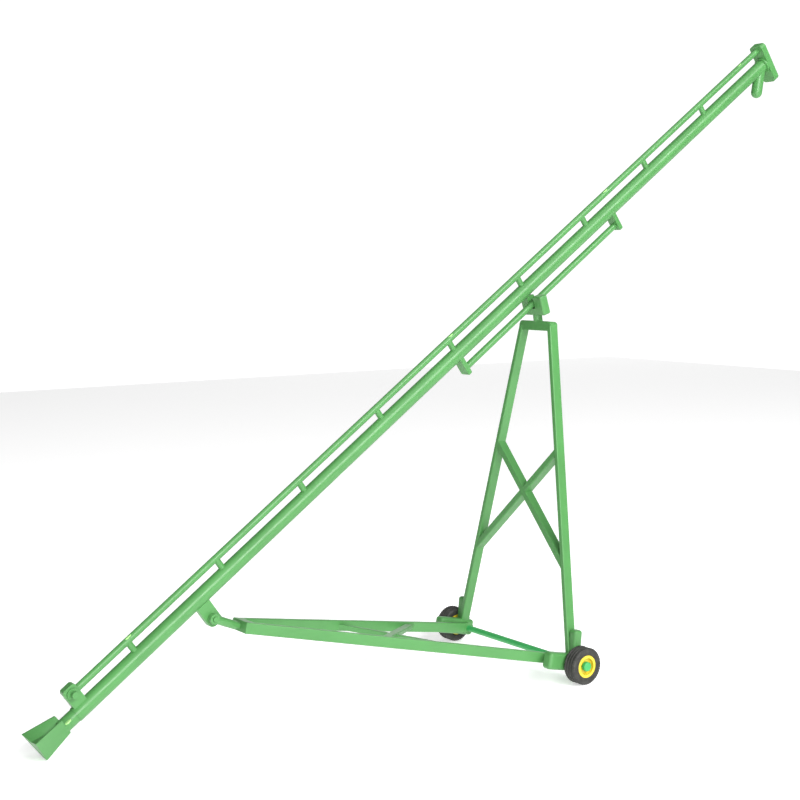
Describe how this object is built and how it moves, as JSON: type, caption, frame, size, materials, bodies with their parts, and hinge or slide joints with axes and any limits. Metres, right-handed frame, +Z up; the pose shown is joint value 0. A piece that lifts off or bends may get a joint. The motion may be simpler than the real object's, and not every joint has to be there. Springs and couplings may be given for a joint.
{
  "type": "scale model grain auger",
  "caption": "Small moulded grain auger: inclined tube boom with drive shaft, hopper and spout, propped by a wheeled A-frame undercarriage with a sliding fork.",
  "frame": {"origin": "on the floor, midway along the length and the width", "axes": "+X from the hopper towards the discharge head, +Y to the left, +Z up"},
  "size_m": [0.2434, 0.0602, 0.1758],
  "materials": {
    "green_plastic": "semi-gloss moulded plastic",
    "pin_plastic": "semi-gloss moulded plastic, slightly bluer green",
    "rim_plastic": "glossy yellow plastic",
    "tyre_rubber": "matt dark grey soft plastic"
  },
  "bodies": {
    "undercarriage": {"front_crossbar": "green_plastic", "lower_leg_left": "green_plastic", "lower_leg_right": "green_plastic", "lower_brace_upper": "green_plastic", "lower_brace_lower": "green_plastic", "drawbar": "green_plastic", "drawbar_neck": "green_plastic", "axle": "pin_plastic", "hub_cap_left": "pin_plastic", "hub_cap_right": "pin_plastic"},
    "boom": {"auger_tube": "green_plastic", "intake_tube": "green_plastic", "intake_hopper": "green_plastic", "drive_gearbox": "green_plastic", "input_collar": "green_plastic", "input_stub": "green_plastic", "drive_shaft": "green_plastic", "shaft_post_1": "green_plastic", "shaft_post_2": "green_plastic", "shaft_post_3": "green_plastic", "shaft_post_4": "green_plastic", "shaft_post_5": "green_plastic", "shaft_post_6": "green_plastic", "shaft_post_7": "green_plastic", "shaft_post_8": "green_plastic", "shaft_post_9": "green_plastic", "head_case": "green_plastic", "head_flange": "green_plastic", "discharge_spout": "green_plastic", "track_bracket_lower": "green_plastic", "track_bracket_upper": "green_plastic", "track_rod": "green_plastic", "hitch_pin": "green_plastic", "hitch_plate": "green_plastic"},
    "upright": {"wheel_bracket_left": "green_plastic", "wheel_bracket_right": "green_plastic", "bracket_arm_left": "green_plastic", "bracket_arm_right": "green_plastic", "upright_crossbar": "green_plastic", "upright_leg_left": "green_plastic", "upright_leg_right": "green_plastic", "upright_brace_a": "green_plastic", "upright_brace_b": "green_plastic", "track_fork": "green_plastic", "fork_stem": "green_plastic"},
    "wheel_left": {"tyre_left": "tyre_rubber", "rim_left": "rim_plastic"},
    "wheel_right": {"tyre_right": "tyre_rubber", "rim_right": "rim_plastic"}
  },
  "joints": [
    {"name": "boom_lift", "type": "hinge", "parent": "undercarriage", "child": "boom", "pos_m": [-0.07576, 0, 0.0262], "axis": [0, -1, 0], "range_deg": [-13, 9]},
    {"name": "upright_tilt", "type": "hinge", "parent": "undercarriage", "child": "upright", "pos_m": [0.01866, 0, 0.00496], "axis": [0, -1, 0], "range_deg": [-27.3, 18.9]},
    {"name": "wheel_left_spin", "type": "hinge", "parent": "undercarriage", "child": "wheel_left", "pos_m": [0.01866, 0, 0.00496], "axis": [0, 1, 0], "continuous": true},
    {"name": "wheel_right_spin", "type": "hinge", "parent": "undercarriage", "child": "wheel_right", "pos_m": [0.01866, 0, 0.00496], "axis": [0, 1, 0], "continuous": true}
  ],
  "couplings": [
    {"joint": "upright_tilt", "follows": "boom_lift", "ratio": 2.1}
  ]
}
